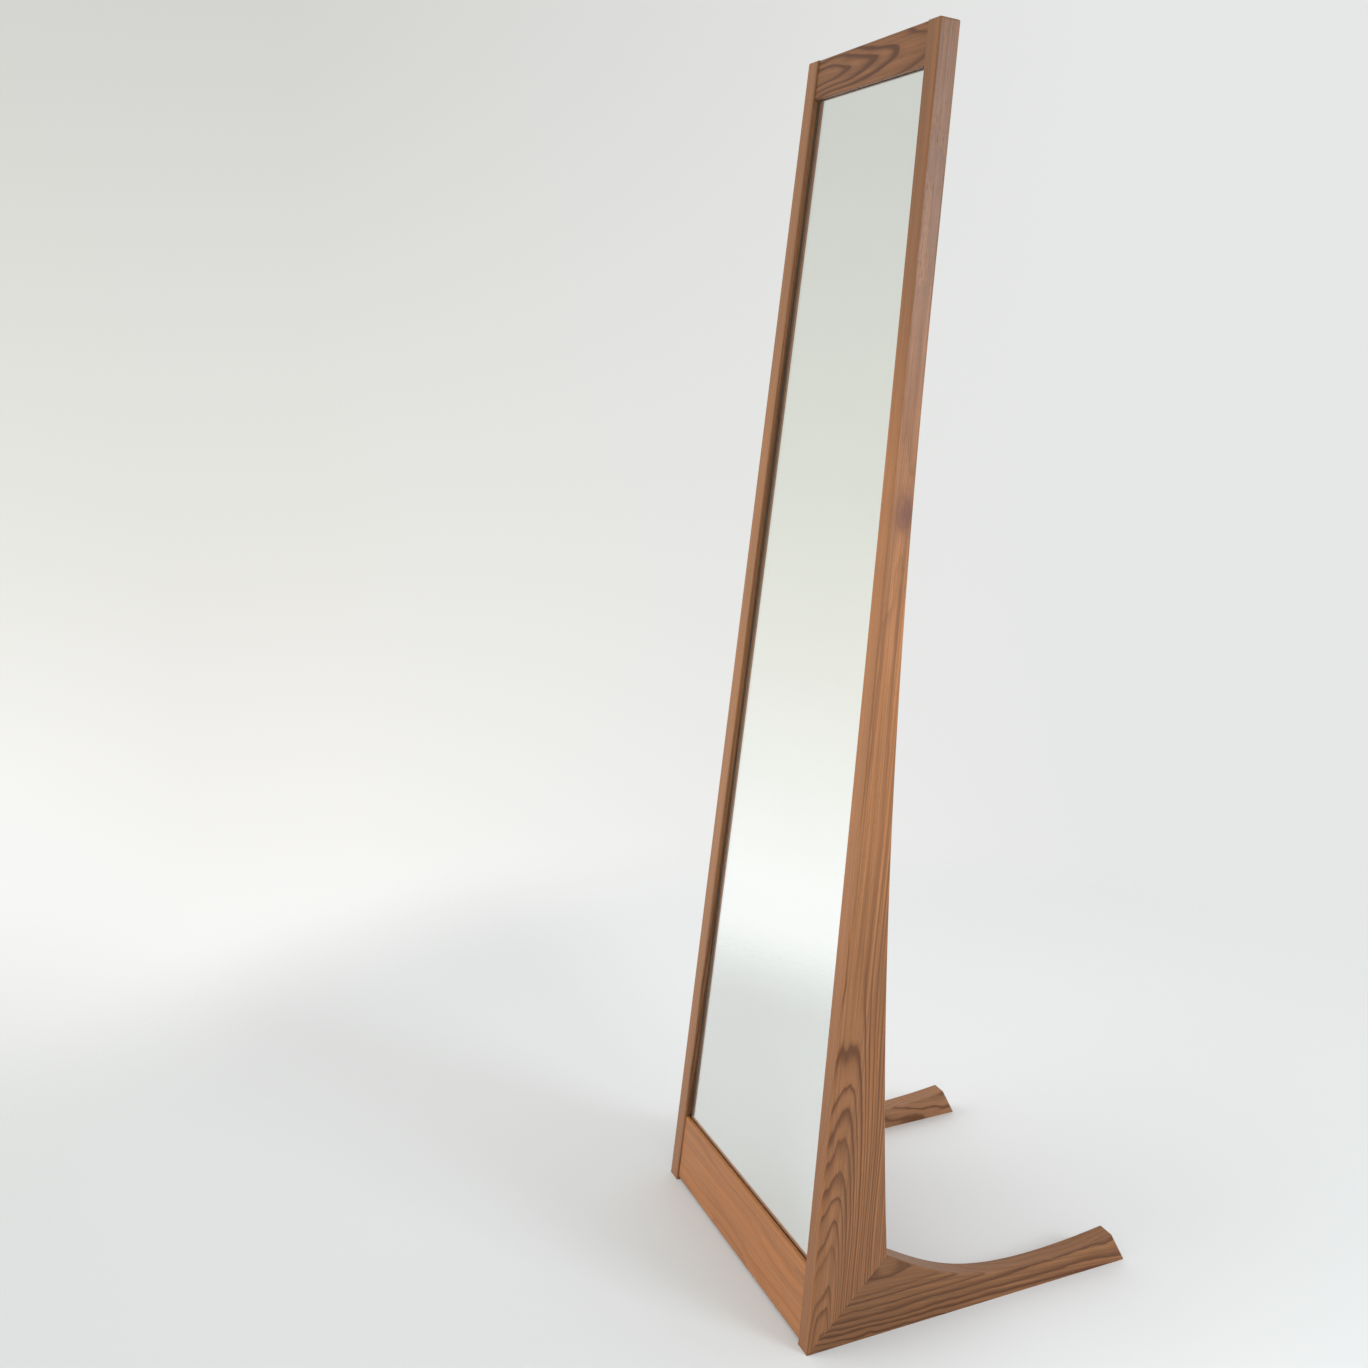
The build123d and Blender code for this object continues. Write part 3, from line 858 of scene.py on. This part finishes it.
class MIRROR_OT_screws(bpy.types.Operator):
    """Turn the bead screws and drive them in"""
    bl_idname = "mirror.screws"
    bl_label = "Make the screws"

    def execute(self, context):
        pattern = turned_screw()
        up_right, up_left = (Vector((-side * TAPER, UP_LEAN.y, UP_LEAN.z)).normalized()
                             for side in (1, -1))
        rows = {
            "right_bead_screws": (outer_face(1), up_right),
            "left_bead_screws": (outer_face(-1), up_left),
            "top_bead_screws": (UP_LEAN, ALONG_X),
            "bottom_bead_screws": (-UP_LEAN, ALONG_X),
        }
        for node, (axis, line) in rows.items():
            line = (line - axis * line.dot(axis)).normalized()
            screws = [driven_screw(pattern, head, axis, number)
                      for number, head in enumerate(screw_heads(node, axis, line))]
            deselect_all()
            for screw in screws:
                screw.select_set(True)
            context.view_layer.objects.active = screws[0]
            bpy.ops.object.join()
            group = context.object
            group.name = f"cross_head_{node}"
            bpy.ops.object.transform_apply(location=True, rotation=True, scale=True)
            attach(group, BODY)
            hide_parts(node)
        deselect_all()
        pattern.select_set(True)
        bpy.ops.object.delete()
        return {"FINISHED"}


FLOOR_SIDES = 96
FLOOR_RADIUS = 2.0
FLOOR_FADE = (1.05, 1.9)        # metres from the middle, where the floor fades out
# The floor's painted light: darker in front of the mirror and brighter behind it, where the light
# falls from the back and right
FLOOR_DEPTH = (-1.2, 1.2)       # metres from front to back that the floor's light spans
FLOOR_PAINTED_LIGHT = ((0.0, 0.78), (0.26, 0.86), (0.40, 0.88), (0.52, 0.98), (0.62, 1.0), (1.0, 0.97))

# The backdrop: (share of the height, colour) stops as the camera sees it, and as the glass
# reflects it from the camera's side; the other numbers are parts of the direction looked in
BACKDROP_RISE = (-0.6, 0.3)
BACKDROP_GLOW = (
    (0.03, (0.735, 0.755, 0.745)), (0.13, (0.76, 0.775, 0.76)), (0.215, (0.955, 0.955, 0.94)),
    (0.30, (0.94, 0.935, 0.915)), (0.47, (0.82, 0.81, 0.775)), (0.63, (0.76, 0.765, 0.73)),
    (0.76, (0.71, 0.715, 0.68)), (0.90, (0.645, 0.645, 0.62)))
REFLECTED_GLOW = (
    (0.17, (0.66, 0.68, 0.66)), (0.23, (0.76, 0.78, 0.77)), (0.30, (0.96, 0.98, 0.97)),
    (0.375, (1.0, 1.0, 0.99)), (0.45, (0.92, 0.92, 0.89)), (0.53, (0.85, 0.85, 0.80)),
    (0.67, (0.755, 0.76, 0.705)), (0.82, (0.69, 0.695, 0.65)), (0.93, (0.645, 0.65, 0.62)))
BACKDROP_AHEAD = (-0.25, 0.05)
BACKDROP_SIDE = (0.15, 0.6)
SIDE_COLOUR = (0.79, 0.80, 0.795)
WHITE = (1, 1, 1, 1)

LAMP_AIM = (0, 0, 0.8)
WINDOW_PLACE, WINDOW_WIDTH = (2.7, 1.5, 1.95), 1.0
FILL_PLACE, FILL_WIDTH = (-0.7, -2.6, 2.2), 2.4
FRAME_WIDTH = 36                # of the camera's frame, in millimetres
NEAREST = 0.01                  # metres from the camera that it still sees


def floor_finish():
    """Pale studio floor, with painted light brighter behind the mirror, that fades into the
    backdrop away from the mirror.
    """
    settings = bpy.context.scene.mirror_studio
    tree = Tree(bpy.data.materials.new("studio floor"))
    place = tree.place()
    mottle = tree.noise(place, scale=3, detail=2)
    # painted light, multiplied into the floor's colour
    light = tree.ramp(tree.span(tree.along(place, ALONG_Y), *FLOOR_DEPTH), FLOOR_PAINTED_LIGHT)
    colour = tree.mix(mottle, settings.floor_colour, shaded(settings.floor_colour, 0.985))
    shown = tree.principled(tree.mix(1.0, colour, light, "MULTIPLY"), 0.75,
                            Specular_IOR_Level=0.2)
    fade = tree.span(tree.length(place), *FLOOR_FADE, easing="SMOOTHERSTEP")
    clear = tree.node("ShaderNodeBsdfTransparent").outputs[0]
    return tree.surface(tree.node("ShaderNodeMixShader", (fade, shown, clear)).outputs[0])


def studio_world():
    """Even room light, and a pale backdrop that is brightest near the floor."""
    settings = bpy.context.scene.mirror_studio
    world = bpy.data.worlds.new("studio")
    bpy.context.scene.world = world
    tree = Tree(world)
    direction = tree.node("ShaderNodeTexCoord").outputs["Generated"]
    parts = tree.node("ShaderNodeSeparateXYZ", (direction,)).outputs
    height = tree.span(parts["Z"], *BACKDROP_RISE)
    glow = tree.mix(tree.span(parts["Y"], *BACKDROP_AHEAD), tree.ramp(height, REFLECTED_GLOW),
                    tree.ramp(height, BACKDROP_GLOW, "B_SPLINE"))
    glow = tree.mix(tree.span(parts["Y"], *BACKDROP_SIDE), glow, SIDE_COLOUR)
    path = tree.node("ShaderNodeLightPath").outputs
    seen = tree.maths("MAXIMUM", path["Is Camera Ray"], path["Is Glossy Ray"])
    seen = tree.maths("MAXIMUM", seen, path["Is Transmission Ray"])
    shown = tree.node("ShaderNodeBackground", (glow, 1.0)).outputs[0]
    lit = tree.node("ShaderNodeBackground", (WHITE, settings.world_light)).outputs[0]
    light = tree.node("ShaderNodeMixShader", (seen, lit, shown)).outputs[0]
    tree.node("ShaderNodeOutputWorld", (light,))


def soft_lamp(name, place, width, power):
    """A square area lamp turned to the middle of the mirror."""
    deselect_all()
    bpy.ops.object.light_add(type="AREA", location=place)
    lamp = bpy.context.object
    lamp.name = name
    lamp.data.size = width
    lamp.data.energy = power
    lamp.rotation_euler = (Vector(LAMP_AIM) - Vector(place)).to_track_quat("-Z", "Y").to_euler()
    lamp.visible_camera = False
    lamp.visible_glossy = False
    return lamp


class MIRROR_OT_stage(bpy.types.Operator):
    """Lay the floor, hang the lamps and set up the camera"""
    bl_idname = "mirror.stage"
    bl_label = "Set up the studio"

    def execute(self, context):
        settings = context.scene.mirror_studio
        deselect_all()
        bpy.ops.mesh.primitive_circle_add(vertices=FLOOR_SIDES, radius=FLOOR_RADIUS,
                                          fill_type="NGON")
        floor = context.object
        floor.name = "studio_floor"
        floor.data.materials.append(floor_finish())
        studio_world()
        window = soft_lamp("window", WINDOW_PLACE, WINDOW_WIDTH, settings.window_light)
        window.data.color = settings.window_colour
        window.visible_glossy = True
        soft_lamp("fill", FILL_PLACE, FILL_WIDTH, settings.fill_light)

        deselect_all()
        bpy.ops.object.camera_add(location=settings.camera_place)
        camera = context.object
        turn = (Matrix.Rotation(settings.camera_turn, 4, "Z")
                @ Matrix.Rotation(radians(90) - settings.camera_tilt, 4, "X")
                @ Matrix.Rotation(settings.camera_roll, 4, "Z"))
        camera.matrix_world = Matrix.Translation(settings.camera_place) @ turn
        camera.data.sensor_width = FRAME_WIDTH
        camera.data.lens = settings.lens
        camera.data.clip_start = NEAREST
        context.scene.camera = camera
        context.scene.view_settings.view_transform = "Standard"
        return {"FINISHED"}


class MIRROR_PT_panel(bpy.types.Panel):
    """The mirror's settings and steps"""
    bl_idname = "MIRROR_PT_panel"
    bl_label = "Dressing Mirror"
    bl_space_type = "VIEW_3D"
    bl_region_type = "UI"
    bl_category = "Mirror"

    def draw(self, context):
        layout = self.layout
        for group in SETTINGS:
            settings = getattr(context.scene, group)
            box = layout.box()
            for name in settings.bl_rna.properties.keys():
                if name not in {"rna_type", "name"}:
                    box.prop(settings, name)
        for operator in STEPS:
            layout.operator(operator.bl_idname)


SETTINGS = {
    "mirror_timber": TimberSettings,
    "mirror_glass": GlassSettings,
    "mirror_hardware": HardwareSettings,
    "mirror_studio": StudioSettings,
}
STEPS = (MIRROR_OT_timber, MIRROR_OT_back, MIRROR_OT_glass, MIRROR_OT_screws, MIRROR_OT_stage)


def register():
    """Adds the settings, the steps and the panel."""
    for name, group in SETTINGS.items():
        bpy.utils.register_class(group)
        setattr(bpy.types.Scene, name, PointerProperty(type=group))
    for kind in (*STEPS, MIRROR_PT_panel):
        bpy.utils.register_class(kind)


def unregister():
    """Takes them away again."""
    for kind in reversed((*STEPS, MIRROR_PT_panel)):
        bpy.utils.unregister_class(kind)
    for name, group in SETTINGS.items():
        delattr(bpy.types.Scene, name)
        bpy.utils.unregister_class(group)


def main():
    """Finishes the whole mirror in its studio."""
    register()
    bpy.ops.mirror.timber()
    bpy.ops.mirror.back()
    bpy.ops.mirror.glass()
    bpy.ops.mirror.screws()
    bpy.ops.mirror.stage()


if __name__ == "__main__":
    main()
